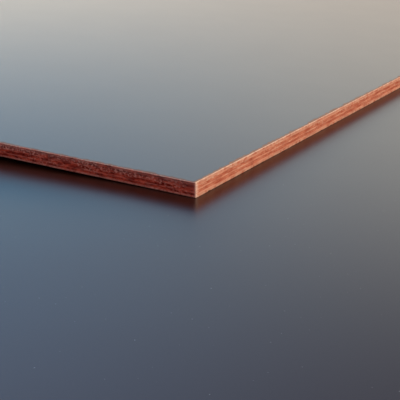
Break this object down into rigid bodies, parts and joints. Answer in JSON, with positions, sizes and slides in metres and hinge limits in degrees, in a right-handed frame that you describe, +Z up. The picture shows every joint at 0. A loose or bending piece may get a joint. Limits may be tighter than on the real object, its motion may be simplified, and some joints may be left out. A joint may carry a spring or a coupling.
{
  "type": "stack of plywood sheets",
  "caption": "Film-faced plywood sheets lying flat in a stack, the upper one slid back so that a corner and the lower face show; smooth dark faces, red-brown sealed edges.",
  "frame": {"origin": "centre of the stack's bounding box at its underside, on the floor", "axes": "+X along the sheets' length, +Y across their width, +Z up through the stack"},
  "size_m": [2.75, 1.5, 0.018],
  "materials": {
    "film_faced_plywood": "smooth satin dark phenolic film on both faces, edges sawn and sealed with thin red-brown paint"
  },
  "bodies": {
    "root": {"lower_sheet": "film_faced_plywood", "upper_sheet": "film_faced_plywood"}
  },
  "joints": []
}
